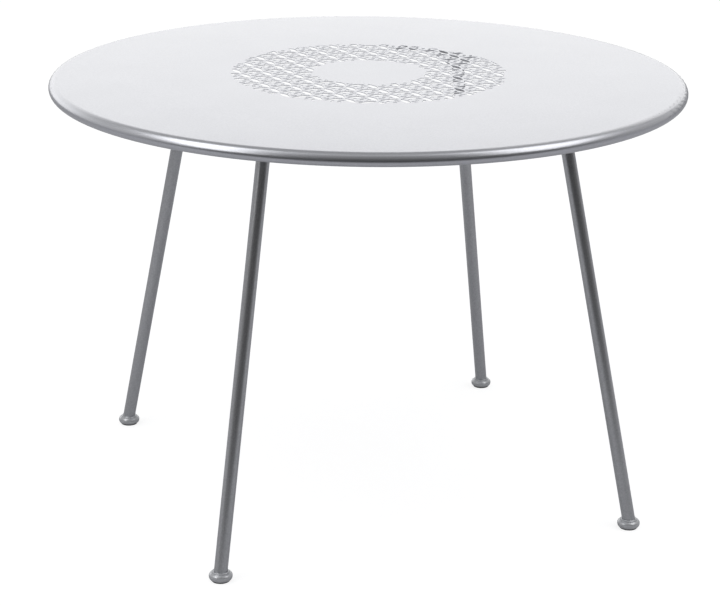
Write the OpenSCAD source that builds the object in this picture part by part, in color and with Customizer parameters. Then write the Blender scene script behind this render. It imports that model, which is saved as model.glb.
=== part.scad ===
// Round garden table with a domed sheet top, a ring of punched lace and four splayed round legs.
// Millimetres, +Z up. The origin is on the floor, under the middle of the top.

/* [Top] */
// Diameter of the top over its rolled edge
top_d = 1100; // [900:10:1300]
// Height from the floor to the highest point of the top
table_h = 750; // [600:1:800]
// Thickness of the top sheet
sheet_t = 1.2; // [1:0.1:2]
// Fall of the dome from the flat middle to the rolled edge
dome_fall = 5; // [2:0.5:10]
// Width of the flat sheet between the lace band and the start of the dome
flat_margin = 10; // [6:1:40]

/* [Rolled edge] */
// Radius of the roll on its outer and lower side
roll_r = 10.8; // [9:0.2:12]
// Larger radius that leads from the dome into the roll
roll_lead_r = 18.5; // [14:0.5:24]
// Angle at which the larger radius hands over to the roll, in degrees
roll_lead_turn = 28; // [15:1:40]
// How far the roll curls in past its lowest point, in degrees
hem_turn = 50; // [30:1:60]
// Wall of the hoop tube inside the roll
hoop_wall = 1.5; // [1:0.1:2.5]

/* [Lace band] */
// Outer diameter of the band
lace_outer_d = 479; // [440:1:520]
// Inner diameter of the band
lace_inner_d = 196; // [150:2:240]
// Distance between two neighbouring motifs
lace_pitch = 40.6; // [36:0.1:48]
// Turn of the lace rows against the front of the table, in degrees
lace_turn = 8.5; // [0:0.5:45]
// Place of the nearest crossing of the bands from the middle, along the rows
lace_shift_u = -3.7; // [-20:0.1:20]
// Place of the nearest crossing of the bands from the middle, across the rows
lace_shift_v = -1.7; // [-20:0.1:20]
// Length of the pointed slots
slot_l = 36; // [24:0.5:37]
// Width of the pointed slots
slot_w = 11; // [8:0.5:12]
// Diameter of the round eye in each field
eye_d = 7; // [4:0.5:12]
// Outer radius of the four arched slots round each eye
arch_r = 14.5; // [12:0.5:15]
// Width of the arched slots
arch_w = 4.5; // [2:0.5:5]
// Stretch of each arched slot round its eye, in degrees
arch_span = 50; // [30:1:60]
// How far a motif must reach into the ring to be punched, beyond a quarter of its length
lace_land = 3; // [2:0.5:6]

/* [Legs] */
// Outer diameter of the leg tube
leg_d = 22.5; // [18:0.5:28]
// Wall of the leg tube
leg_wall = 2; // [1.5:0.1:3]
// Distance of a leg's axis from the middle of the table, under its bar
leg_top_r = 361; // [300:1:400]
// Distance of a leg's axis from the middle of the table, at the floor
leg_floor_r = 519; // [440:1:530]

/* [Leg heads] */
// Length of the channel under the sheet and of the bar below it
bar_l = 380; // [300:5:400]
// Width of the channel and of the bar
bar_w = 30; // [28:1:40]
// Thickness of the leg bar
bar_t = 8; // [6:0.5:12]
// Depth of the channel below the sheet, in the middle of its length
channel_depth = 22; // [18:0.5:30]
// Wall of the channel
channel_wall = 2; // [1.5:0.1:3]
// Thickness of the gussets between bar and leg
gusset_t = 5; // [3:0.5:8]
// Length of a gusset along the bar
gusset_l = 38; // [25:1:60]
// Height of a gusset along the leg
gusset_h = 26; // [15:1:50]
// Height of a gusset's blunt outer edge, and its reach past the leg at its lower end
gusset_edge = 4; // [2:0.5:8]

/* [Fasteners] */
// Distance of each bolt from its leg
bolt_reach = 120; // [80:1:135]
// Diameter of the bolts
bolt_d = 8; // [6:1:10]
// Size across the flats of the bolt head
bolt_flats = 13; // [10:0.5:15]
// Height of the bolt head
bolt_head_h = 5.3; // [4:0.1:7]
// Diameter of the washers
washer_d = 20; // [16:0.5:24]
// Thickness of the washers
washer_t = 1.6; // [1:0.1:2.5]
// Diameter of the threaded bosses
boss_d = 16; // [14:0.5:20]
// Length of bolt inside a boss
bolt_grip = 14; // [8:0.5:15]

/* [Feet] */
// Largest diameter of a foot
foot_d = 39; // [34:0.5:46]
// Radius of the foot's round upper edge
foot_upper_r = 6; // [4.5:0.5:6.5]
// Radius of the foot's round lower side
foot_lower_r = 7; // [6.5:0.5:8]
// Height of the widest part of the foot over the floor
foot_belly_z = 8; // [7:0.5:8]
// Height of the straight stretch at the widest part
foot_belly_h = 1; // [0.5:0.5:3]
// Radius of the bead round the leg on top of the foot
bead_r = 1.6; // [1:0.1:2]
// How far the bead sinks into the foot's shoulder, below its own middle
bead_seat = 0.9; // [0.4:0.1:1.2]
// Width of the small groove between the bead and the foot's shoulder
bead_groove_w = 1.4; // [0.6:0.1:2]
// Depth of the leg's socket, measured down from the foot's shoulder
socket_depth = 8; // [4:0.5:8]
// Diameter of the glide
glide_d = 30; // [24:0.5:31]
// Height of the glide below the foot
glide_t = 1.5; // [1:0.1:2]
// Diameter of the stem that holds the glide in the foot
glide_stem_d = 9; // [6:0.5:12]
// Length of that stem
glide_stem_l = 3.5; // [2:0.5:4]

/* [Clearances] */
// Gap between the hoop tube and the roll around it
hoop_clear = 0.2; // [0.1:0.05:0.4]
// Radial clearance between a bolt and its hole
bolt_clear = 0.25; // [0.1:0.05:0.5]
// Radial clearance between the leg and the socket of its foot
socket_clear = 0.15; // [0.1:0.05:0.4]
// Radial clearance round the stem of the glide
stem_clear = 0.1; // [0.05:0.05:0.3]

/* [Hidden] */
$fn = 96;

// Directions of the four legs, counted round the table from the right-hand side
FRONT_LEFT = 225;
FRONT_RIGHT = 315;
BACK_RIGHT = 45;
BACK_LEFT = 135;
LEG_TURNS = [FRONT_LEFT, FRONT_RIGHT, BACK_RIGHT, BACK_LEFT];

// Middle of the roll and of the larger radius that leads into it, seen in section
flat_r = lace_outer_d / 2 + flat_margin;
roll_cx = top_d / 2 - roll_r;
lead_cx = roll_cx - (roll_lead_r - roll_r) * sin(roll_lead_turn);
// The slope at the end of the dome follows from its fall, so that dome and roll meet without a kink
function dome_slope(a, n) =
    n == 0 ? a : dome_slope(atan(2 * dome_fall / (lead_cx + roll_lead_r * sin(a) - flat_r)), n - 1);
end_slope = dome_slope(1, 6);
dome_end_r = lead_cx + roll_lead_r * sin(end_slope);
lead_cz = table_h - dome_fall - roll_lead_r * cos(end_slope);
roll_cz = lead_cz + (roll_lead_r - roll_r) * cos(roll_lead_turn);

// Height and slope of the dome's upper face at a distance r from the middle
function dome_share(r) = max(0, r - flat_r) / (dome_end_r - flat_r);
function dome_z(r) = table_h - dome_fall * pow(dome_share(r), 2);
function dome_tilt(r) = atan(2 * dome_fall * dome_share(r) / (dome_end_r - flat_r));
function dome_point(r, depth) = [r - depth * sin(dome_tilt(r)), dome_z(r) - depth * cos(dome_tilt(r))];
function under_z(r) = dome_z(r) - sheet_t;

// Heights of the leg heads, from the sheet downwards
bar_top_z = under_z(leg_top_r) - channel_depth;
bar_under_z = bar_top_z - bar_t;
channel_far_r = norm([leg_top_r + bar_w / 2, bar_l / 2]);
channel_web_z = under_z(channel_far_r) - channel_wall;
bolt_hole_d = bolt_d + 2 * bolt_clear;

// Lean of the legs
leg_run = leg_floor_r - leg_top_r;
leg_lean = atan(leg_run / bar_under_z);
function leg_r(z) = leg_floor_r - leg_run * z / bar_under_z;

// Heights in the feet
foot_shoulder_z = foot_belly_z + foot_belly_h + foot_upper_r;
foot_shoulder_r = foot_d / 2 - foot_upper_r;
bead_cr = leg_d / 2 + socket_clear + bead_r - bead_seat / 3;
bead_cz = foot_shoulder_z + bead_r - bead_seat;
foot_r = leg_r(foot_shoulder_z);
socket_z = foot_shoulder_z - socket_depth;

// A ring sector in section, between the angles a and b, counted from straight up and turning outwards
module arc_band(r, t, a, b) {
    intersection() {
        difference() {
            circle(r = r);
            circle(r = r - t);
        }
        polygon([
            [0, 0],
            for (i = [0:4]) 2 * r * [sin(a + (b - a) * i / 4), cos(a + (b - a) * i / 4)]
        ]);
    }
}

// Small core inside the sheet's thickness, across the place where two stretches of the section meet
module seam_core(r, a) {
    rotate(-a)
    translate([-sheet_t / 2, r - 0.9 * sheet_t])
    square([sheet_t, 0.8 * sheet_t]);
}

// Section of the sheet from the flat middle out to the hem
module sheet_section() {
    steps = 16;
    radii = [for (i = [0:steps]) flat_r + (dome_end_r - flat_r) * i / steps];
    polygon(concat(
        [[flat_r - sheet_t, table_h]],
        [for (r = radii) dome_point(r, 0)],
        [for (i = [0:steps]) dome_point(radii[steps - i], sheet_t)],
        [[flat_r - sheet_t, table_h - sheet_t]]
    ));
    translate([lead_cx, lead_cz]) {
        arc_band(roll_lead_r, sheet_t, end_slope, roll_lead_turn);
        seam_core(roll_lead_r, end_slope);
    }
    translate([roll_cx, roll_cz]) {
        arc_band(roll_r, sheet_t, roll_lead_turn, 180 + hem_turn);
        seam_core(roll_r, roll_lead_turn);
    }
}

// Everything under the sheet's underside, in section, for trimming what is welded there
module under_section() {
    steps = 16;
    radii = [for (i = [0:steps]) flat_r + (dome_end_r - flat_r) * i / steps];
    polygon(concat(
        [[0, bar_under_z], [0, table_h - sheet_t]],
        [for (r = radii) dome_point(r, sheet_t)],
        [[dome_end_r, bar_under_z]]
    ));
}

// Slot with two round sides that meet in points, lying along X
module pointed_slot(l, w) {
    r = (l * l + w * w) / (4 * w);
    intersection() {
        translate([0, r - w / 2]) circle(r = r);
        translate([0, w / 2 - r]) circle(r = r);
    }
}

// Slot bent round the origin, with its middle on the X axis
module arched_slot(r, w, span) {
    intersection() {
        difference() {
            circle(r = r);
            circle(r = r - w);
        }
        polygon([[0, 0], 2 * r * [cos(span / 2), -sin(span / 2)], 2 * r * [cos(span / 2), sin(span / 2)]]);
    }
}

// Ring in which the lace is punched
module lace_ring() {
    difference() {
        circle(d = lace_outer_d, $fn = 240);
        circle(d = lace_inner_d, $fn = 180);
    }
}

// Tests whether a motif at p, reaching half its length each way, is worth punching
function in_ring(p, reach) =
    norm(p) < lace_outer_d / 2 + reach - lace_land && norm(p) > lace_inner_d / 2 - reach + lace_land;

// Lace: slots along and across the rows, with an eye in four arched slots in each field between them
module lace_holes() {
    n = ceil(lace_outer_d / 2 / lace_pitch) + 1;
    half = lace_pitch / 2;
    rotate(lace_turn)
    for (i = [-n:n]) {
        for (j = [-n:n]) {
            u = lace_shift_u + i * lace_pitch;
            v = lace_shift_v + j * lace_pitch;
            upright = [u, v + half];
            level = [u + half, v];
            eye = [u + half, v + half];
            if (in_ring(upright, slot_l / 4)) translate(upright) rotate(90) pointed_slot(slot_l, slot_w);
            if (in_ring(level, slot_l / 4)) translate(level) pointed_slot(slot_l, slot_w);
            if (in_ring(eye, 0)) translate(eye) circle(d = eye_d);
            for (k = [45:90:315]) {
                arch = eye + (arch_r - arch_w / 2) * [cos(k), sin(k)];
                if (in_ring(arch, 0)) translate(eye) rotate(k) arched_slot(arch_r, arch_w, arch_span);
            }
        }
    }
}

module table_top() {
    color("gainsboro") {
        rotate_extrude($fn = 240) sheet_section();
        translate([0, 0, table_h - sheet_t])
        linear_extrude(sheet_t)
        difference() {
            circle(r = flat_r, $fn = 240);
            intersection() {
                lace_ring();
                lace_holes();
            }
        }
    }
}

// Hoop tube inside the roll
module rim_hoop() {
    color("darkgray")
    translate([0, 0, roll_cz])
    rotate_extrude($fn = 240)
    translate([roll_cx, 0])
    difference() {
        circle(r = roll_r - sheet_t - hoop_clear);
        circle(r = roll_r - sheet_t - hoop_clear - hoop_wall);
    }
}

// Puts what is drawn along +X, with its bar along Y, in the direction of a leg
module at_leg(turn) {
    rotate(turn) children();
}

module bolt_places(turn) {
    at_leg(turn)
    for (s = [-1, 1]) translate([leg_top_r, s * bolt_reach, 0]) children();
}

// Channel welded under the sheet, open below
module channel(turn) {
    color("dimgray")
    at_leg(turn)
    intersection() {
        difference() {
            translate([leg_top_r - bar_w / 2, -bar_l / 2, bar_top_z])
            cube([bar_w, bar_l, table_h - bar_top_z]);
            translate([leg_top_r - bar_w / 2 + channel_wall, -bar_l / 2 - 1, bar_top_z - 1])
            cube([bar_w - 2 * channel_wall, bar_l + 2, channel_web_z - bar_top_z + 1]);
        }
        rotate_extrude($fn = 240) under_section();
    }
}

// Bosses in the channels, threaded for the bolts
module threaded_bosses() {
    color("silver")
    for (turn = LEG_TURNS)
    bolt_places(turn)
    difference() {
        translate([0, 0, bar_top_z]) cylinder(d = boss_d, h = channel_web_z - bar_top_z);
        translate([0, 0, bar_top_z - 1]) cylinder(d = bolt_hole_d, h = bolt_grip + 2);
    }
}

// Bar across the head of a leg, with round ends
module bar(turn) {
    color("gray")
    difference() {
        at_leg(turn)
        translate([leg_top_r, 0, bar_under_z])
        linear_extrude(bar_t) {
            square([bar_w, bar_l - bar_w], center = true);
            for (s = [-1, 1]) translate([0, s * (bar_l - bar_w) / 2]) circle(d = bar_w);
        }
        bolt_places(turn)
        translate([0, 0, bar_under_z - 1]) cylinder(d = bolt_hole_d, h = bar_t + 2);
    }
}

// Round bar along a leg's axis, reaching from the floor to above the bar
module leg_line(d, extra) {
    translate([leg_floor_r, 0, 0])
    rotate([0, -leg_lean, 0])
    translate([0, 0, -extra])
    cylinder(d = d, h = bar_under_z / cos(leg_lean) + 2 * extra);
}

// Leg tube, cut level at both ends
module leg(turn) {
    color("gray")
    at_leg(turn)
    intersection() {
        difference() {
            leg_line(leg_d, 40);
            leg_line(leg_d - 2 * leg_wall, 50);
        }
        translate([leg_top_r - leg_d, -leg_d, socket_z])
        cube([leg_run + 2 * leg_d, 2 * leg_d, bar_under_z - socket_z]);
    }
}

// Gussets at both sides of a leg's head, in the leaning plane of its axis
module gusset_pair(turn) {
    at_leg(turn)
    difference() {
        intersection() {
            translate([leg_top_r, 0, bar_under_z])
            rotate([0, -leg_lean, 0])
            rotate([90, 0, 90])
            translate([0, 0, -gusset_t / 2])
            linear_extrude(gusset_t)
            polygon([
                [-leg_d / 2 - gusset_l, bar_t],
                [-leg_d / 2 - gusset_l, -gusset_edge],
                [-leg_d / 2 - gusset_edge, -gusset_h],
                [leg_d / 2 + gusset_edge, -gusset_h],
                [leg_d / 2 + gusset_l, -gusset_edge],
                [leg_d / 2 + gusset_l, bar_t]
            ]);
            translate([leg_top_r - leg_d, -leg_d - gusset_l, bar_under_z - 2 * gusset_h])
            cube([2 * leg_d, 2 * leg_d + 2 * gusset_l, 2 * gusset_h]);
        }
        leg_line(leg_d, 40);
    }
}

module leg_gussets() {
    color("gray")
    for (turn = LEG_TURNS) gusset_pair(turn);
}

// Hexagon bolts, put in from below, with the corners of their heads taken off at 30 degrees
module bar_bolts() {
    color("silver")
    for (turn = LEG_TURNS)
    bolt_places(turn) {
        translate([0, 0, bar_under_z - washer_t - bolt_head_h])
        intersection() {
            cylinder(d = bolt_flats / cos(30), h = bolt_head_h, $fn = 6);
            cylinder(d1 = bolt_flats, d2 = bolt_flats + 2 * bolt_head_h / tan(30), h = bolt_head_h);
        }
        translate([0, 0, bar_under_z - washer_t])
        cylinder(d = bolt_d, h = washer_t + bar_t + bolt_grip);
    }
}

module bolt_washers() {
    color("lightgray")
    for (turn = LEG_TURNS)
    bolt_places(turn)
    translate([0, 0, bar_under_z - washer_t])
    difference() {
        cylinder(d = washer_d, h = washer_t);
        translate([0, 0, -1]) cylinder(d = bolt_hole_d, h = washer_t + 2);
    }
}

// Outline of a foot in section: a round bun with a small bead on its shoulder
module foot_section() {
    belly = foot_d / 2;
    difference() {
        union() {
            intersection() {
                translate([belly - foot_lower_r, foot_belly_z]) circle(r = foot_lower_r);
                translate([0, glide_t]) square([belly, foot_belly_z - glide_t]);
            }
            translate([0, glide_t]) square([belly - foot_lower_r, foot_belly_z - glide_t]);
            translate([0, foot_belly_z]) square([belly, foot_belly_h]);
            intersection() {
                translate([foot_shoulder_r, foot_belly_z + foot_belly_h]) circle(r = foot_upper_r);
                translate([0, foot_belly_z + foot_belly_h]) square([belly, foot_upper_r]);
            }
            translate([0, foot_belly_z + foot_belly_h]) square([foot_shoulder_r, foot_upper_r]);
        }
        translate([bead_cr + bead_r + bead_groove_w * 0.35, foot_shoulder_z])
        circle(d = bead_groove_w, $fn = 32);
    }
    translate([bead_cr, bead_cz]) circle(r = bead_r, $fn = 48);
}

module foot(turn) {
    color("gray")
    at_leg(turn)
    difference() {
        translate([foot_r, 0, 0]) rotate_extrude() foot_section();
        intersection() {
            leg_line(leg_d + 2 * socket_clear, 40);
            translate([foot_r - leg_d, -leg_d, socket_z]) cube([2 * leg_d, 2 * leg_d, 60]);
        }
        translate([foot_r, 0, glide_t - 1])
        cylinder(d = glide_stem_d + 2 * stem_clear, h = glide_stem_l + 1);
    }
}

module glide(turn) {
    color("#303236")
    at_leg(turn)
    translate([foot_r, 0, 0]) {
        cylinder(d = glide_d, h = glide_t);
        translate([0, 0, glide_t]) cylinder(d = glide_stem_d, h = glide_stem_l);
    }
}

table_top();
rim_hoop();
channel(FRONT_LEFT);  // front_left_channel
channel(FRONT_RIGHT);  // front_right_channel
channel(BACK_RIGHT);  // back_right_channel
channel(BACK_LEFT);  // back_left_channel
threaded_bosses();
bar(FRONT_LEFT);  // front_left_bar
bar(FRONT_RIGHT);  // front_right_bar
bar(BACK_RIGHT);  // back_right_bar
bar(BACK_LEFT);  // back_left_bar
leg(FRONT_LEFT);  // front_left_leg
leg(FRONT_RIGHT);  // front_right_leg
leg(BACK_RIGHT);  // back_right_leg
leg(BACK_LEFT);  // back_left_leg
leg_gussets();
bar_bolts();
bolt_washers();
foot(FRONT_LEFT);  // front_left_foot
foot(FRONT_RIGHT);  // front_right_foot
foot(BACK_RIGHT);  // back_right_foot
foot(BACK_LEFT);  // back_left_foot
glide(FRONT_LEFT);  // front_left_glide
glide(FRONT_RIGHT);  // front_right_glide
glide(BACK_RIGHT);  // back_right_glide
glide(BACK_LEFT);  // back_left_glide
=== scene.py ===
# %% [markdown]
# A round garden table, dressed for its picture.
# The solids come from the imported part: a domed sheet top with a rolled edge and a ring of punched
# lace, four splayed round legs with turned feet, and the bars and channels that hold them.
# This lesson adds what solids can't show: the satin metallic powder coat, the zinc on the bolts,
# the weld beads, the matt glides, and a plain studio around it all.

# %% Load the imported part
import math

import bmesh
import bpy
from mathutils import Matrix, Vector


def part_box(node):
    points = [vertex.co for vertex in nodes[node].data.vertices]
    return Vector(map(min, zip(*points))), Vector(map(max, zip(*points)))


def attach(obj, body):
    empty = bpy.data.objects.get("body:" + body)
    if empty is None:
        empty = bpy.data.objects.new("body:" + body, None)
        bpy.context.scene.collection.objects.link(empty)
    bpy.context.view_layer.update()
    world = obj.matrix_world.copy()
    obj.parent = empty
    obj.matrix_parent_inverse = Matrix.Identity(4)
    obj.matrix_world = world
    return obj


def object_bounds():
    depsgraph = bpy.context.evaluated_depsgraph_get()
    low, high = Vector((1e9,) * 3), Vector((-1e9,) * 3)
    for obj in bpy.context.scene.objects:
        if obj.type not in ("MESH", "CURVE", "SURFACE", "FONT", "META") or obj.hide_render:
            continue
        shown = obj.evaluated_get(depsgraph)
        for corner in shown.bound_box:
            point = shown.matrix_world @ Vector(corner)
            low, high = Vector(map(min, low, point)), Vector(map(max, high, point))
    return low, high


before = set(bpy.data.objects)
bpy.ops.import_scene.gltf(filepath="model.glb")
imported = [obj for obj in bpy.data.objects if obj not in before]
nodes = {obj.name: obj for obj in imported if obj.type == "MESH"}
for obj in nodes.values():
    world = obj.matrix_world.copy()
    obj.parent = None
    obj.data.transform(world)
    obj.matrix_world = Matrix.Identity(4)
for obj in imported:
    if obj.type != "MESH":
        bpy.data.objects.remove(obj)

cad_low, cad_high = [list(corner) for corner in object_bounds()]
print("pieces in the frame:", len(nodes))
print("box of the part:", [round(v, 4) for v in cad_low], [round(v, 4) for v in cad_high])

# %% [markdown]
# The sizes that the extra pieces need are the same as in the part: where a leg meets its bar,
# how far it leans, and how thick it is. Lengths are written in millimetres, as in a workshop
# drawing, and turned into metres in one place.

# %% Sizes shared by the extra pieces
MM = 0.001
LEG_TURNS = {"front_left": 225, "front_right": 315, "back_right": 45, "back_left": 135}
LEG_D = 22.5 * MM
LEG_TOP_R = 361 * MM
LEG_FLOOR_R = 519 * MM
bar_low, bar_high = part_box("front_left_bar")
BAR_UNDER_Z = bar_low.z
LEG_LEAN = math.atan((LEG_FLOOR_R - LEG_TOP_R) / BAR_UNDER_Z)
print("underside of the bars:", round(BAR_UNDER_Z, 4))
print("lean of the legs in degrees:", round(math.degrees(LEG_LEAN), 2))

# %% [markdown]
# Every finish is a small graph of shader nodes. These helpers keep the cells short: one makes an
# empty material with a Principled shader, one adds a node, and one joins sockets.

# %% Helpers for shader nodes
def add(tree, kind, **settings):
    """Adds a node and sets what is given by name."""
    node = tree.nodes.new(kind)
    for name, value in settings.items():
        setattr(node, name, value)
    return node


def join(tree, *pairs):
    """Joins each pair of sockets."""
    for start, end in pairs:
        tree.links.new(start, end)


def new_finish(name):
    """A material with a Principled shader and the object's own coordinates."""
    material = bpy.data.materials.new(name)
    material.use_nodes = True
    tree = material.node_tree
    shader = tree.nodes["Principled BSDF"]
    place = add(tree, "ShaderNodeTexCoord")
    return material, tree, shader, place.outputs["Object"]


def new_group(name, inputs, outputs):
    """A node group with named sockets, given as {name: (type, default)}."""
    group = bpy.data.node_groups.new(name, "ShaderNodeTree")
    for label, (kind, default) in inputs.items():
        socket = group.interface.new_socket(label, in_out="INPUT", socket_type=kind)
        if default is not None:
            socket.default_value = default
    for label, kind in outputs.items():
        group.interface.new_socket(label, in_out="OUTPUT", socket_type=kind)
    return group, add(group, "NodeGroupInput"), add(group, "NodeGroupOutput")


def put_group(tree, group, place, **values):
    """Places a group in a material, on the object's coordinates, with its own values."""
    node = add(tree, "ShaderNodeGroup", node_tree=group)
    join(tree, (place, node.inputs["Place"]))
    for label, value in values.items():
        node.inputs[label.replace("_", " ")].default_value = value
    return node


def calc(tree, operation, *values):
    """A maths node on numbers or sockets; returns its result."""
    node = add(tree, "ShaderNodeMath", operation=operation)
    for slot, value in zip(node.inputs, values):
        if isinstance(value, (int, float)):
            slot.default_value = value
        else:
            join(tree, (value, slot))
    return node.outputs[0]


FLOAT, VECTOR, COLOUR = "NodeSocketFloat", "NodeSocketVector", "NodeSocketColor"

# %% [markdown]
# Metallic powder coat is a grey binder full of tiny aluminium flakes. From near, some flakes catch
# the light and the rest sink in, so the coat has a fine glitter, and where the powder fell a bit
# thicker the tone drifts slowly. Its surface is not quite flat either: it has the soft dimples
# that painters call orange peel. All three come from one group, so every coated piece can share
# them: two sizes of flake, one slow cloud and one height for the dimples.

# %% Group: flakes, clouds and orange peel
coat_group, coat_in, coat_out = new_group(
    "powder coat surface",
    {
        "Place": (VECTOR, None),
        "Flake Scale": (FLOAT, 900.0),
        "Cloud Scale": (FLOAT, 9.0),
        "Peel Scale": (FLOAT, 420.0),
    },
    {"Flake": FLOAT, "Cloud": FLOAT, "Peel": FLOAT},
)
fine = add(coat_group, "ShaderNodeTexNoise", noise_dimensions="3D")
fine.inputs["Detail"].default_value = 1.0
coarse = add(coat_group, "ShaderNodeTexNoise", noise_dimensions="3D")
coarse.inputs["Detail"].default_value = 2.0
coarser = add(coat_group, "ShaderNodeMath", operation="MULTIPLY")
coarser.inputs[1].default_value = 0.36
both = add(coat_group, "ShaderNodeMath", operation="MULTIPLY_ADD")
both.inputs[1].default_value = 0.5
spread = add(coat_group, "ShaderNodeMath", operation="MULTIPLY")
spread.inputs[1].default_value = 0.5
sharpen = add(coat_group, "ShaderNodeMapRange")
sharpen.inputs["From Min"].default_value = 0.36
sharpen.inputs["From Max"].default_value = 0.66
cloud = add(coat_group, "ShaderNodeTexNoise", noise_dimensions="3D")
cloud.inputs["Detail"].default_value = 3.0
peel = add(coat_group, "ShaderNodeTexNoise", noise_dimensions="3D")
peel.inputs["Detail"].default_value = 0.0
join(
    coat_group,
    (coat_in.outputs["Place"], fine.inputs["Vector"]),
    (coat_in.outputs["Place"], coarse.inputs["Vector"]),
    (coat_in.outputs["Place"], cloud.inputs["Vector"]),
    (coat_in.outputs["Place"], peel.inputs["Vector"]),
    (coat_in.outputs["Flake Scale"], fine.inputs["Scale"]),
    (coat_in.outputs["Flake Scale"], coarser.inputs[0]),
    (coarser.outputs[0], coarse.inputs["Scale"]),
    (coat_in.outputs["Cloud Scale"], cloud.inputs["Scale"]),
    (coat_in.outputs["Peel Scale"], peel.inputs["Scale"]),
    (coarse.outputs["Fac"], spread.inputs[0]),
    (fine.outputs["Fac"], both.inputs[0]),
    (spread.outputs[0], both.inputs[2]),
    (both.outputs[0], sharpen.inputs["Value"]),
    (sharpen.outputs["Result"], coat_out.inputs["Flake"]),
    (cloud.outputs["Fac"], coat_out.inputs["Cloud"]),
    (peel.outputs["Fac"], coat_out.inputs["Peel"]),
)
print("group:", coat_group.name, len(coat_group.nodes), "nodes")

# %% [markdown]
# The edge of the top is rolled round two circles, one after the other: a wide one that leads off
# the dome, and a tight one that makes the bullnose. A satin metal shows every flat in such an edge,
# so the coat takes its tilt there from the circles themselves: it points away from the middle of
# the circle, seen in section, on every face that looks outwards, and keeps the sheet's own tilt
# everywhere else.

# %% Group: tilt of the rolled edge
ROLL_R = 10.8 * MM
LEAD_R = 18.5 * MM
LEAD_TURN = math.radians(28)
DOME_FALL = 5 * MM
FLAT_R = 249.5 * MM
DOME_END_SINE = 0.035
LEAST_FACING = 0.1
top_d = cad_high[0] - cad_low[0]
top_height = cad_high[2]
roll_cx = top_d / 2 - ROLL_R
lead_cx = roll_cx - (LEAD_R - ROLL_R) * math.sin(LEAD_TURN)
end_slope = math.atan(2 * DOME_FALL / (lead_cx + LEAD_R * DOME_END_SINE - FLAT_R))
lead_cz = top_height - DOME_FALL - LEAD_R * math.cos(end_slope)
roll_cz = lead_cz + (LEAD_R - ROLL_R) * math.cos(LEAD_TURN)

edge_group, edge_in, edge_out = new_group(
    "rolled edge tilt", {"Place": (VECTOR, None), "Normal": (VECTOR, None)}, {"Normal": VECTOR}
)
split = add(edge_group, "ShaderNodeSeparateXYZ")
join(edge_group, (edge_in.outputs["Place"], split.inputs["Vector"]))
x, y, z = (split.outputs[axis] for axis in "XYZ")


def edge_calc(operation, *values):
    """A maths node in the group of the rolled edge."""
    return calc(edge_group, operation, *values)


def distance(first, second):
    """How far off a place is that lies so far along two directions at a right angle."""
    squares = [edge_calc("MULTIPLY", side, side) for side in (first, second)]
    return edge_calc("SQRT", edge_calc("ADD", *squares))


def circle_tilt(cx, cz):
    """Outward and upward share of the tilt away from a circle's middle."""
    out = edge_calc("SUBTRACT", reach, cx)
    up = edge_calc("SUBTRACT", z, cz)
    far = distance(out, up)
    return edge_calc("DIVIDE", out, far), edge_calc("DIVIDE", up, far)


def pick(roll_value, lead_value):
    """The value that belongs to the circle a face lies on."""
    on_either = [edge_calc("MULTIPLY", on_roll, roll_value), edge_calc("MULTIPLY", on_lead, lead_value)]
    return edge_calc("ADD", *on_either)


reach = distance(x, y)
lead_out, lead_up = circle_tilt(lead_cx, lead_cz)
roll_out, roll_up = circle_tilt(roll_cx, roll_cz)
past_lead_cx = edge_calc("SUBTRACT", reach, lead_cx)
above_lead_cz = edge_calc("SUBTRACT", z, lead_cz)
lead_angle = edge_calc("ARCTAN2", past_lead_cx, above_lead_cz)
on_roll = edge_calc("GREATER_THAN", lead_angle, LEAD_TURN)
past_dome = edge_calc("GREATER_THAN", lead_angle, end_slope)
on_lead = edge_calc("MULTIPLY", past_dome, edge_calc("SUBTRACT", 1, on_roll))
near_edge = edge_calc("GREATER_THAN", reach, lead_cx)
share = edge_calc("DIVIDE", pick(roll_out, lead_out), reach)
tilt = add(edge_group, "ShaderNodeCombineXYZ")
facing = add(edge_group, "ShaderNodeVectorMath", operation="DOT_PRODUCT")
outer = edge_calc("GREATER_THAN", facing.outputs["Value"], LEAST_FACING)
on_circles = edge_calc("MULTIPLY", near_edge, edge_calc("ADD", on_roll, on_lead))
mask = edge_calc("MULTIPLY", on_circles, outer)
choose = add(edge_group, "ShaderNodeMix", data_type="VECTOR")
join(
    edge_group,
    (edge_in.outputs["Normal"], facing.inputs[0]),
    (tilt.outputs["Vector"], facing.inputs[1]),
    (edge_calc("MULTIPLY", x, share), tilt.inputs["X"]),
    (edge_calc("MULTIPLY", y, share), tilt.inputs["Y"]),
    (pick(roll_up, lead_up), tilt.inputs["Z"]),
    (mask, choose.inputs["Factor"]),
    (edge_in.outputs["Normal"], choose.inputs["A"]),
    (tilt.outputs["Vector"], choose.inputs["B"]),
    (choose.outputs["Result"], edge_out.inputs["Normal"]),
)
print("larger circle at", round(lead_cx, 4), round(lead_cz, 4))
print("roll circle at", round(roll_cx, 4), round(roll_cz, 4))

# %% [markdown]
# The coat itself. It is mostly metal to the light, with a thin clear skin over the flakes, which
# is why it goes almost white when one looks along the top and stays mid grey on the legs. On the
# sheet its tones are also set lighter and bluer than on the legs, a painted sheen that adds to that
# white. The flakes move the colour and the roughness a little, the cloud moves the tone, and the
# peel only tilts the surface. One function makes it, so the sheet, the tubes and the turned feet
# differ in how coarse and how strong these are, and the sheet also in its painted lighter tones.
# Powder also gathers on the cut walls of the small holes, where it cures thick and dull, so there
# the sheet's coat turns from metallic to a paler paint.

# %% Finish: metallic grey powder coat
TONE_DRIFT = 0.08
GLOSS_SPREAD = 0.03
FLAKE_RELIEF = 0.06
PEEL_STRENGTH = 0.5
LACE_DEPTH = 2 * MM
LACE_REACH = 250 * MM


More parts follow.
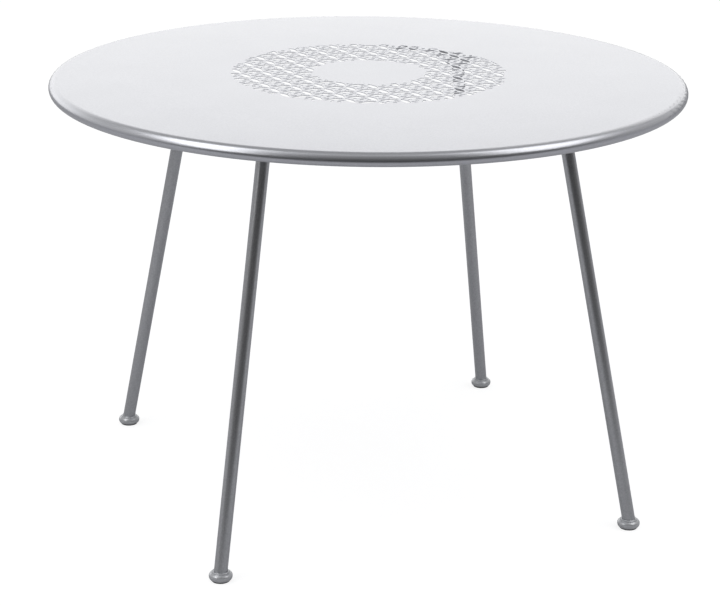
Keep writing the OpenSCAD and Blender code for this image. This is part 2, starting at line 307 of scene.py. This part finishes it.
def powder_coat(name, dark, light, rough, flake_scale, peel_height, glitter):
    material, tree, shader, place = new_finish(name)
    coat = put_group(tree, coat_group, place, Flake_Scale=flake_scale)
    tone = add(tree, "ShaderNodeMix", data_type="RGBA")
    tone.inputs["A"].default_value = (*dark, 1)
    tone.inputs["B"].default_value = (*light, 1)
    amount = add(tree, "ShaderNodeMapRange")
    amount.inputs["To Min"].default_value = 0.5 - glitter
    amount.inputs["To Max"].default_value = 0.5 + glitter
    drift = add(tree, "ShaderNodeMapRange")
    drift.inputs["From Min"].default_value = 0.3
    drift.inputs["From Max"].default_value = 0.7
    drift.inputs["To Min"].default_value = -TONE_DRIFT
    drift.inputs["To Max"].default_value = TONE_DRIFT
    summed = add(tree, "ShaderNodeMath", operation="ADD", use_clamp=True)
    gloss = add(tree, "ShaderNodeMapRange")
    gloss.inputs["To Min"].default_value = rough + GLOSS_SPREAD
    gloss.inputs["To Max"].default_value = rough - GLOSS_SPREAD
    height = add(tree, "ShaderNodeMath", operation="MULTIPLY_ADD")
    height.inputs[1].default_value = FLAKE_RELIEF
    bump = add(tree, "ShaderNodeBump")
    bump.inputs["Strength"].default_value = PEEL_STRENGTH
    bump.inputs["Distance"].default_value = peel_height
    join(
        tree,
        (coat.outputs["Flake"], amount.inputs["Value"]),
        (coat.outputs["Cloud"], drift.inputs["Value"]),
        (amount.outputs["Result"], summed.inputs[0]),
        (drift.outputs["Result"], summed.inputs[1]),
        (summed.outputs[0], tone.inputs["Factor"]),
        (tone.outputs["Result"], shader.inputs["Base Color"]),
        (coat.outputs["Flake"], gloss.inputs["Value"]),
        (gloss.outputs["Result"], shader.inputs["Roughness"]),
        (coat.outputs["Flake"], height.inputs[0]),
        (coat.outputs["Peel"], height.inputs[2]),
        (height.outputs[0], bump.inputs["Height"]),
        (bump.outputs["Normal"], shader.inputs["Normal"]),
    )
    shader.inputs["Metallic"].default_value = 1.0
    shader.inputs["Coat Weight"].default_value = 1.0
    shader.inputs["Coat Roughness"].default_value = 0.20
    shader.inputs["Coat IOR"].default_value = 1.5
    return material


def pale_hole_walls(material, low, radius):
    """Makes upright faces near the middle of the top, above a height, matt and pale."""
    tree = material.node_tree
    shader = tree.nodes["Principled BSDF"]
    place = next(n for n in tree.nodes if n.bl_idname == "ShaderNodeTexCoord")
    facing = add(tree, "ShaderNodeSeparateXYZ")
    steep = add(tree, "ShaderNodeMath", operation="ABSOLUTE")
    upright = add(tree, "ShaderNodeMath", operation="LESS_THAN")
    upright.inputs[1].default_value = 0.5
    split = add(tree, "ShaderNodeSeparateXYZ")
    above = add(tree, "ShaderNodeMath", operation="GREATER_THAN")
    above.inputs[1].default_value = low
    reach = add(tree, "ShaderNodeVectorMath", operation="MULTIPLY")
    reach.inputs[1].default_value = (1, 1, 0)
    length = add(tree, "ShaderNodeVectorMath", operation="LENGTH")
    inside = add(tree, "ShaderNodeMath", operation="LESS_THAN")
    inside.inputs[1].default_value = radius
    high_up = add(tree, "ShaderNodeMath", operation="MULTIPLY")
    wall = add(tree, "ShaderNodeMath", operation="MULTIPLY")
    metal = add(tree, "ShaderNodeMapRange")
    metal.inputs["To Min"].default_value = 1.0
    metal.inputs["To Max"].default_value = 0.35
    join(
        tree,
        (place.outputs["Normal"], facing.inputs["Vector"]),
        (facing.outputs["Z"], steep.inputs[0]),
        (steep.outputs[0], upright.inputs[0]),
        (place.outputs["Object"], split.inputs["Vector"]),
        (split.outputs["Z"], above.inputs[0]),
        (place.outputs["Object"], reach.inputs[0]),
        (reach.outputs["Vector"], length.inputs[0]),
        (length.outputs["Value"], inside.inputs[0]),
        (upright.outputs[0], high_up.inputs[0]),
        (above.outputs[0], high_up.inputs[1]),
        (high_up.outputs[0], wall.inputs[0]),
        (inside.outputs[0], wall.inputs[1]),
        (wall.outputs[0], metal.inputs["Value"]),
        (metal.outputs["Result"], shader.inputs["Metallic"]),
    )


def round_edge(material):
    """Gives the coat the tilt of the rolled edge's two circles, under its own fine bumps."""
    tree = material.node_tree
    place = next(n for n in tree.nodes if n.bl_idname == "ShaderNodeTexCoord")
    bump = next(n for n in tree.nodes if n.bl_idname == "ShaderNodeBump")
    edge = add(tree, "ShaderNodeGroup", node_tree=edge_group)
    join(
        tree,
        (place.outputs["Object"], edge.inputs["Place"]),
        (place.outputs["Normal"], edge.inputs["Normal"]),
        (edge.outputs["Normal"], bump.inputs["Normal"]),
    )


# The sheet's dark and light tones are lighter and bluer than the tubes' coat: a painted sheen over the
# real grey coat, standing in for the pale reflection along the top.
sheet_coat_and_painted_sheen = powder_coat(
    "sheet coat and painted sheen", (0.67, 0.68, 0.725), (0.83, 0.84, 0.89),
    rough=0.33, flake_scale=900.0, peel_height=0.00003, glitter=0.22,
)
pale_hole_walls(sheet_coat_and_painted_sheen, top_height - LACE_DEPTH, LACE_REACH)
round_edge(sheet_coat_and_painted_sheen)
tube_coat = powder_coat(
    "tube coat", (0.54, 0.55, 0.57), (0.76, 0.77, 0.79),
    rough=0.32, flake_scale=800.0, peel_height=0.00005, glitter=0.30,
)
frame_coat = powder_coat(
    "bar and channel coat", (0.54, 0.55, 0.57), (0.74, 0.75, 0.77),
    rough=0.34, flake_scale=800.0, peel_height=0.00005, glitter=0.30,
)
foot_coat = powder_coat(
    "foot coat", (0.54, 0.55, 0.57), (0.76, 0.77, 0.79),
    rough=0.36, flake_scale=900.0, peel_height=0.00004, glitter=0.30,
)
foot_shader = foot_coat.node_tree.nodes["Principled BSDF"]
foot_shader.inputs["Metallic"].default_value = 0.7
foot_shader.inputs["Coat Weight"].default_value = 0.5
print("coats:", [m.name for m in (sheet_coat_and_painted_sheen, tube_coat, frame_coat, foot_coat)])

# %% [markdown]
# The bolts, washers and threaded bosses are bright zinc. Zinc plating is smooth but cloudy, with a
# faint spangle and a slight warm or blue cast from place to place.

# %% Finish: bright zinc
def zinc_plate(name):
    material, tree, shader, place = new_finish(name)
    cells = add(tree, "ShaderNodeTexVoronoi", feature="F1")
    cells.inputs["Scale"].default_value = 320.0
    mist = add(tree, "ShaderNodeTexNoise")
    mist.inputs["Scale"].default_value = 70.0
    mist.inputs["Detail"].default_value = 4.0
    cast = add(tree, "ShaderNodeMix", data_type="RGBA")
    cast.inputs["A"].default_value = (0.56, 0.58, 0.60, 1)
    cast.inputs["B"].default_value = (0.68, 0.66, 0.62, 1)
    gloss = add(tree, "ShaderNodeMapRange")
    gloss.inputs["To Min"].default_value = 0.24
    gloss.inputs["To Max"].default_value = 0.42
    join(
        tree,
        (place, cells.inputs["Vector"]),
        (place, mist.inputs["Vector"]),
        (mist.outputs["Fac"], cast.inputs["Factor"]),
        (cast.outputs["Result"], shader.inputs["Base Color"]),
        (cells.outputs["Distance"], gloss.inputs["Value"]),
        (gloss.outputs["Result"], shader.inputs["Roughness"]),
    )
    shader.inputs["Metallic"].default_value = 1.0
    return material


zinc = zinc_plate("bright zinc")
print("finish:", zinc.name)

# %% [markdown]
# The glides are moulded black plastic. Moulded plastic isn't pure black: it is a dark grey with a
# fine grain from the tool, and the part that rubs on the floor is scuffed paler.

# %% Finish: matt glide plastic
def glide_plastic(name):
    material, tree, shader, place = new_finish(name)
    grain = add(tree, "ShaderNodeTexNoise")
    grain.inputs["Scale"].default_value = 1400.0
    split = add(tree, "ShaderNodeSeparateXYZ")
    scuff = add(tree, "ShaderNodeMapRange")
    scuff.inputs["From Min"].default_value = 0.0
    scuff.inputs["From Max"].default_value = 0.0009
    scuff.inputs["To Min"].default_value = 1.0
    scuff.inputs["To Max"].default_value = 0.0
    tone = add(tree, "ShaderNodeMix", data_type="RGBA")
    tone.inputs["A"].default_value = (0.020, 0.021, 0.024, 1)
    tone.inputs["B"].default_value = (0.045, 0.045, 0.048, 1)
    bump = add(tree, "ShaderNodeBump")
    bump.inputs["Strength"].default_value = 0.4
    bump.inputs["Distance"].default_value = 0.00005
    join(
        tree,
        (place, grain.inputs["Vector"]),
        (place, split.inputs["Vector"]),
        (split.outputs["Z"], scuff.inputs["Value"]),
        (scuff.outputs["Result"], tone.inputs["Factor"]),
        (tone.outputs["Result"], shader.inputs["Base Color"]),
        (grain.outputs["Fac"], bump.inputs["Height"]),
        (bump.outputs["Normal"], shader.inputs["Normal"]),
    )
    shader.inputs["Roughness"].default_value = 0.55
    return material


glide_black = glide_plastic("glide plastic")
print("finish:", glide_black.name)

# %% [markdown]
# The solids already have the right shape, so they keep their meshes and only take a finish. A
# piece's name says what it is, so one table from the end of the name to the finish does it.

# %% Give each solid its finish
FINISH = {
    "table_top": sheet_coat_and_painted_sheen,
    "rim_hoop": tube_coat,
    "channel": frame_coat,
    "bosses": zinc,
    "bar": frame_coat,
    "leg": tube_coat,
    "gussets": frame_coat,
    "bolts": zinc,
    "washers": zinc,
    "foot": foot_coat,
    "glide": glide_black,
}
for name, piece in nodes.items():
    finish = next(f for end, f in FINISH.items() if name.endswith(end))
    piece.data.materials.clear()
    piece.data.materials.append(finish)
print("finished solids:", len(nodes))

# %% [markdown]
# Bars, channels and gussets are cut from stock, and the powder rounds their cut edges a little. A
# small bevel on the edges sharper than 40 degrees does the same, and catches a thin line of light.
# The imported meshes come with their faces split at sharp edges, so they are welded first.

# %% Soft edges on the cut pieces
SOFT_EDGES = {"bar": 0.6 * MM, "channel": 0.35 * MM, "gussets": 0.5 * MM, "bolts": 0.25 * MM}
for name, piece in nodes.items():
    width = next((w for end, w in SOFT_EDGES.items() if name.endswith(end)), None)
    if width is None:
        continue
    weld = piece.modifiers.new("weld", "WELD")
    weld.merge_threshold = 1e-6
    soft = piece.modifiers.new("soft edges", "BEVEL")
    soft.width = width
    soft.segments = 2
    soft.limit_method = "ANGLE"
    soft.angle_limit = math.radians(40)
    soft.harden_normals = True
print("softened:", [name for name, piece in nodes.items() if "soft edges" in piece.modifiers])

# %% [markdown]
# A real leg is welded to its bar, and the weld shows from below as a bead with fine ripples round
# the tube. A bead is a small round section spun once round the tube. The spin makes it smooth, and
# moving every second ring in and out by a tenth of a millimetre gives the ripples.

# %% Weld beads round the heads of the legs
BEAD_R = 1.9 * MM
BEAD_GAP = 0.5 * MM
BEAD_BELOW_BAR = 0.6 * MM
RIPPLES = 22
RIPPLE_DEPTH = 0.09


def weld_bead(name, centre, ring_r, bead_r, ripples):
    """A rippled bead round a leg, under its bar."""
    mesh = bmesh.new()
    start = Matrix.Translation((ring_r, 0, 0)) @ Matrix.Rotation(math.pi / 2, 4, "X")
    bmesh.ops.create_circle(mesh, radius=bead_r, segments=10, matrix=start)
    bmesh.ops.spin(
        mesh, geom=mesh.verts[:] + mesh.edges[:], cent=(0, 0, 0), axis=(0, 0, 1),
        angle=2 * math.pi, steps=ripples * 4, use_merge=True,
    )
    bmesh.ops.remove_doubles(mesh, verts=mesh.verts, dist=1e-6)
    for v in mesh.verts:
        turn = math.atan2(v.co.y, v.co.x)
        push = 1 + RIPPLE_DEPTH * math.sin(ripples * turn)
        core = Vector((ring_r * math.cos(turn), ring_r * math.sin(turn), 0))
        v.co = core + (v.co - core) * push
    bmesh.ops.recalc_face_normals(mesh, faces=mesh.faces)
    bmesh.ops.translate(mesh, verts=mesh.verts, vec=centre)
    data = bpy.data.meshes.new(name)
    mesh.to_mesh(data)
    mesh.free()
    for polygon in data.polygons:
        polygon.use_smooth = True
    piece = bpy.data.objects.new(name, data)
    bpy.context.scene.collection.objects.link(piece)
    data.materials.append(frame_coat)
    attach(piece, "root")
    return piece


for side, turn in LEG_TURNS.items():
    a = math.radians(turn)
    head = Vector((LEG_TOP_R * math.cos(a), LEG_TOP_R * math.sin(a), BAR_UNDER_Z - BEAD_BELOW_BAR))
    bead = weld_bead(side + "_leg_weld", head, LEG_D / 2 + BEAD_GAP, BEAD_R, RIPPLES)
print("weld beads:", len(LEG_TURNS), "with", len(bead.data.polygons), "faces each")

# %% [markdown]
# Two more kinds of weld hold a leg's head. Short stitches fix the channel to the sheet, spaced out
# so that the thin sheet doesn't warp, and a longer bead runs along each side of a gusset where it
# meets the bar. Each one is a rod of rings, thick and thin in turn, that tapers at both ends as a
# weld does where the welder starts and stops.

# %% Stitches and gusset welds
def weld_rod(mesh, start, end, radius):
    """Adds a rippled rod between two places to a mesh."""
    run = end - start
    rings = int(run.length / (0.9 * MM))
    aim = run.to_track_quat("Z", "Y").to_matrix().to_4x4()
    last = None
    for i in range(rings + 1):
        share = i / rings
        taper = min(1.0, 0.35 + 4 * min(share, 1 - share))
        size = radius * taper * (1.0 if i % 2 else 0.86)
        spot = Matrix.Translation(start + run * share) @ aim
        caps = i in (0, rings)
        made = bmesh.ops.create_circle(mesh, cap_ends=caps, radius=size, segments=8, matrix=spot)
        edges = list({e for v in made["verts"] for e in v.link_edges})
        if last:
            bmesh.ops.bridge_loops(mesh, edges=last + edges)
        last = edges


GUSSET_L = 38 * MM
GUSSET_T = 5 * MM
GUSSET_WELD_R = 1.4 * MM
GUSSET_WELD_END = 3 * MM
GUSSET_WELD_GAP = 0.6 * MM
GUSSET_WELD_DROP = 0.4 * MM
BAR_W = 30 * MM
STITCH_L = 18 * MM
STITCH_R = 1.2 * MM
STITCH_GAP = 0.3 * MM
STITCH_PLACES = (45 * MM, 105 * MM, 165 * MM)


def stitch_height(channel_top, reach):
    """Height of a stitch, which follows the fall of the sheet above it."""
    return channel_top - 0.9 * MM - 2.4 * MM * (reach / 0.40 - 0.87)


for side, turn in LEG_TURNS.items():
    a = math.radians(turn)
    out, along = Vector((math.cos(a), math.sin(a), 0)), Vector((-math.sin(a), math.cos(a), 0))
    weld_height = Vector((0, 0, BAR_UNDER_Z - GUSSET_WELD_DROP))
    channel_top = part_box(side + "_channel")[1].z
    near = LEG_D / 2 + GUSSET_WELD_END
    far = LEG_D / 2 + GUSSET_L - GUSSET_WELD_END
    mesh = bmesh.new()
    for s in (-1, 1):
        for face in (-1, 1):
            base = out * (LEG_TOP_R + face * (GUSSET_T / 2 + GUSSET_WELD_GAP)) + weld_height
            weld_rod(mesh, base + along * s * near, base + along * s * far, GUSSET_WELD_R)
        for face in (-1, 1):
            for place in STITCH_PLACES:
                spot = out * (LEG_TOP_R + face * (BAR_W / 2 + STITCH_GAP)) + along * s * place
                spot.z = stitch_height(channel_top, spot.length)
                weld_rod(mesh, spot - along * STITCH_L / 2, spot + along * STITCH_L / 2, STITCH_R)
    bmesh.ops.recalc_face_normals(mesh, faces=mesh.faces)
    data = bpy.data.meshes.new(side + "_head_welds")
    mesh.to_mesh(data)
    mesh.free()
    for polygon in data.polygons:
        polygon.use_smooth = True
    welds = bpy.data.objects.new(side + "_head_welds", data)
    bpy.context.scene.collection.objects.link(welds)
    data.materials.append(frame_coat)
    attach(welds, "root")
print("head welds:", len(LEG_TURNS), "pieces with", len(data.polygons), "faces each")

# %% [markdown]
# The studio. The floor is pale and reaches far past the picture, and it takes the table's soft
# shadow. Only what the camera sees of it directly is lifted to white, so that no extra light falls
# on the table. To the light that the metal throws back, the pale part ends in front of the table
# and the floor beyond it is dark, as at the front edge of a paper sweep. That is why the legs are
# dark under the top and grow lighter towards the floor.

# %% Floor
VIEW_TURN = math.radians(72.07)
SWEEP_END = 1.25
SWEEP_FADE = 0.9


def pale_floor():
    mesh = bmesh.new()
    bmesh.ops.create_grid(mesh, x_segments=1, y_segments=1, size=30)
    data = bpy.data.meshes.new("floor")
    mesh.to_mesh(data)
    mesh.free()
    floor = bpy.data.objects.new("floor", data)
    bpy.context.scene.collection.objects.link(floor)
    material = bpy.data.materials.new("pale floor")
    material.use_nodes = True
    tree = material.node_tree
    tree.nodes.clear()
    out = add(tree, "ShaderNodeOutputMaterial")
    path = add(tree, "ShaderNodeLightPath")
    place = add(tree, "ShaderNodeTexCoord")
    aim = add(tree, "ShaderNodeMapping", vector_type="POINT")
    aim.inputs["Rotation"].default_value = (0, 0, math.pi / 2 - VIEW_TURN)
    split = add(tree, "ShaderNodeSeparateXYZ")
    sweep = add(tree, "ShaderNodeMapRange", interpolation_type="SMOOTHSTEP")
    sweep.inputs["From Min"].default_value = -SWEEP_END - SWEEP_FADE
    sweep.inputs["From Max"].default_value = -SWEEP_END
    paper = add(tree, "ShaderNodeMix", data_type="RGBA")
    paper.inputs["A"].default_value = (0.03, 0.03, 0.03, 1)
    paper.inputs["B"].default_value = (0.39, 0.39, 0.40, 1)
    matt = add(tree, "ShaderNodeBsdfDiffuse")
    seen = add(tree, "ShaderNodeBsdfDiffuse")
    seen.inputs["Color"].default_value = (0.30, 0.30, 0.30, 1)
    lift = add(tree, "ShaderNodeEmission")
    lift.inputs["Strength"].default_value = 0.80
    both = add(tree, "ShaderNodeAddShader")
    choose = add(tree, "ShaderNodeMixShader")
    join(
        tree,
        (place.outputs["Object"], aim.inputs["Vector"]),
        (aim.outputs["Vector"], split.inputs["Vector"]),
        (split.outputs["Y"], sweep.inputs["Value"]),
        (sweep.outputs["Result"], paper.inputs["Factor"]),
        (paper.outputs["Result"], matt.inputs["Color"]),
        (seen.outputs[0], both.inputs[0]),
        (lift.outputs[0], both.inputs[1]),
        (path.outputs["Is Camera Ray"], choose.inputs["Fac"]),
        (matt.outputs[0], choose.inputs[1]),
        (both.outputs[0], choose.inputs[2]),
        (choose.outputs[0], out.inputs["Surface"]),
    )
    data.materials.append(material)
    return floor


floor = pale_floor()
print("stage:", floor.name)

# %% [markdown]
# The room round it is what a satin metal shows. A product studio has a white sweep behind the
# table, grey walls beside it, a darker ceiling, and a dark room behind the camera: the white makes
# the top pale, the grey walls show in the left and right ends of the rolled edge, and the dark
# makes the line under the rim. The world does this with two ramps from front to back, one for low
# directions and one for high ones, and a climb that fades from the first to the second. What the
# camera sees directly stays plain white.

# %% Room
ROOM_TURN = math.radians(14)


def studio_room():
    world = bpy.data.worlds.new("studio room")
    bpy.context.scene.world = world
    world.use_nodes = True
    tree = world.node_tree
    tree.nodes.clear()
    out = add(tree, "ShaderNodeOutputWorld")
    path = add(tree, "ShaderNodeLightPath")
    place = add(tree, "ShaderNodeTexCoord")
    aim = add(tree, "ShaderNodeMapping", vector_type="POINT")
    aim.inputs["Rotation"].default_value = (0, 0, math.pi / 2 - VIEW_TURN - ROOM_TURN)
    split = add(tree, "ShaderNodeSeparateXYZ")
    low = add(tree, "ShaderNodeValToRGB")
    lows = [(0.0, 0.07), (0.25, 0.10), (0.5, 0.30), (0.80, 0.42), (0.94, 1.0)]
    high = add(tree, "ShaderNodeValToRGB")
    highs = [(0.0, 0.14), (0.25, 0.17), (0.5, 0.36), (0.75, 0.27), (1.0, 0.27)]
    for ramp, values in ((low, lows), (high, highs)):
        ramp.color_ramp.interpolation = "EASE"
        points = ramp.color_ramp.elements
        while len(points) < len(values):
            points.new(0.5)
        for point, (at, grey) in zip(points, values):
            point.position = at
            point.color = (grey, grey, grey, 1)
    climb = add(tree, "ShaderNodeMapRange", interpolation_type="SMOOTHSTEP")
    climb.inputs["From Min"].default_value = 0.36
    climb.inputs["From Max"].default_value = 0.56
    back = add(tree, "ShaderNodeMapRange")
    back.inputs["From Min"].default_value = -1.0
    product = add(tree, "ShaderNodeMix", data_type="RGBA")
    shown = add(tree, "ShaderNodeBackground")
    shown.inputs["Strength"].default_value = 1.07
    soft = add(tree, "ShaderNodeBackground")
    soft.inputs["Color"].default_value = (0.72, 0.725, 0.735, 1)
    white = add(tree, "ShaderNodeBackground")
    white.inputs["Color"].default_value = (1, 1, 1, 1)
    for_gloss = add(tree, "ShaderNodeMixShader")
    for_eye = add(tree, "ShaderNodeMixShader")
    either = add(tree, "ShaderNodeMath", operation="MAXIMUM")
    join(
        tree,
        (place.outputs["Generated"], aim.inputs["Vector"]),
        (aim.outputs["Vector"], split.inputs["Vector"]),
        (split.outputs["Z"], climb.inputs["Value"]),
        (climb.outputs["Result"], product.inputs["Factor"]),
        (split.outputs["Y"], back.inputs["Value"]),
        (back.outputs["Result"], low.inputs["Fac"]),
        (back.outputs["Result"], high.inputs["Fac"]),
        (low.outputs["Color"], product.inputs["A"]),
        (high.outputs["Color"], product.inputs["B"]),
        (product.outputs["Result"], shown.inputs["Color"]),
        (path.outputs["Is Glossy Ray"], for_gloss.inputs["Fac"]),
        (soft.outputs[0], for_gloss.inputs[1]),
        (shown.outputs[0], for_gloss.inputs[2]),
        (path.outputs["Is Camera Ray"], either.inputs[0]),
        (path.outputs["Is Transmission Ray"], either.inputs[1]),
        (either.outputs[0], for_eye.inputs["Fac"]),
        (for_gloss.outputs[0], for_eye.inputs[1]),
        (white.outputs[0], for_eye.inputs[2]),
        (for_eye.outputs[0], out.inputs["Surface"]),
    )
    return world


room = studio_room()
print("world:", room.name)

# %% [markdown]
# Two long soft boxes hang over the sides of the table, and both slant down towards the camera.
# They give the rolled edge its two bright stretches, with a quieter stretch between them in the
# middle.

# %% Soft boxes
def soft_box(name, upper, lower, width, power):
    """A long lamp between two places as seen from the camera, facing the middle of the top."""
    right = Vector((math.sin(VIEW_TURN), -math.cos(VIEW_TURN), 0))
    forward = Vector((math.cos(VIEW_TURN), math.sin(VIEW_TURN), 0))
    ends = [right * x + forward * y + Vector((0, 0, z)) for x, y, z in (upper, lower)]
    along = (ends[0] - ends[1]).normalized()
    middle = (ends[0] + ends[1]) / 2
    back = middle - Vector((0, 0, 0.75))
    back = (back - along * back.dot(along)).normalized()
    data = bpy.data.lights.new(name, "AREA")
    data.shape = "RECTANGLE"
    data.size, data.size_y = width, (ends[0] - ends[1]).length
    data.energy = power
    lamp = bpy.data.objects.new(name, data)
    bpy.context.scene.collection.objects.link(lamp)
    turn = Matrix((along.cross(back), along, back)).transposed()
    lamp.matrix_world = Matrix.Translation(middle) @ turn.to_4x4()
    return lamp


left_box = soft_box("left soft box", (-1.30, 0.30, 3.25), (-2.33, -2.28, 1.28), 1.1, 19)
right_box = soft_box("right soft box", (1.25, 0.55, 3.20), (2.45, -1.80, 1.70), 1.3, 16)
print("lamps:", left_box.name, right_box.name)

# %% [markdown]
# The camera stands at eye height, 3.7 metres from the middle of the table. Its place was found by
# matching the outline of the top, the four legs and the feet, so it is written as plain numbers.

# %% Camera and picture settings
view = bpy.data.cameras.new("camera")
view.sensor_width = 36
view.lens = 107.66
view.shift_x = -0.05625
view.shift_y = 0.0007
camera = bpy.data.objects.new("camera", view)
bpy.context.scene.collection.objects.link(camera)
camera.location = (-1.12844, -3.48917, 1.54731)
camera.rotation_euler = [math.radians(a) for a in (71.6072, -0.8405, -18.5836)]
bpy.context.scene.camera = camera
bpy.context.scene.view_settings.view_transform = "Standard"
print("camera at", [round(v, 3) for v in camera.location])
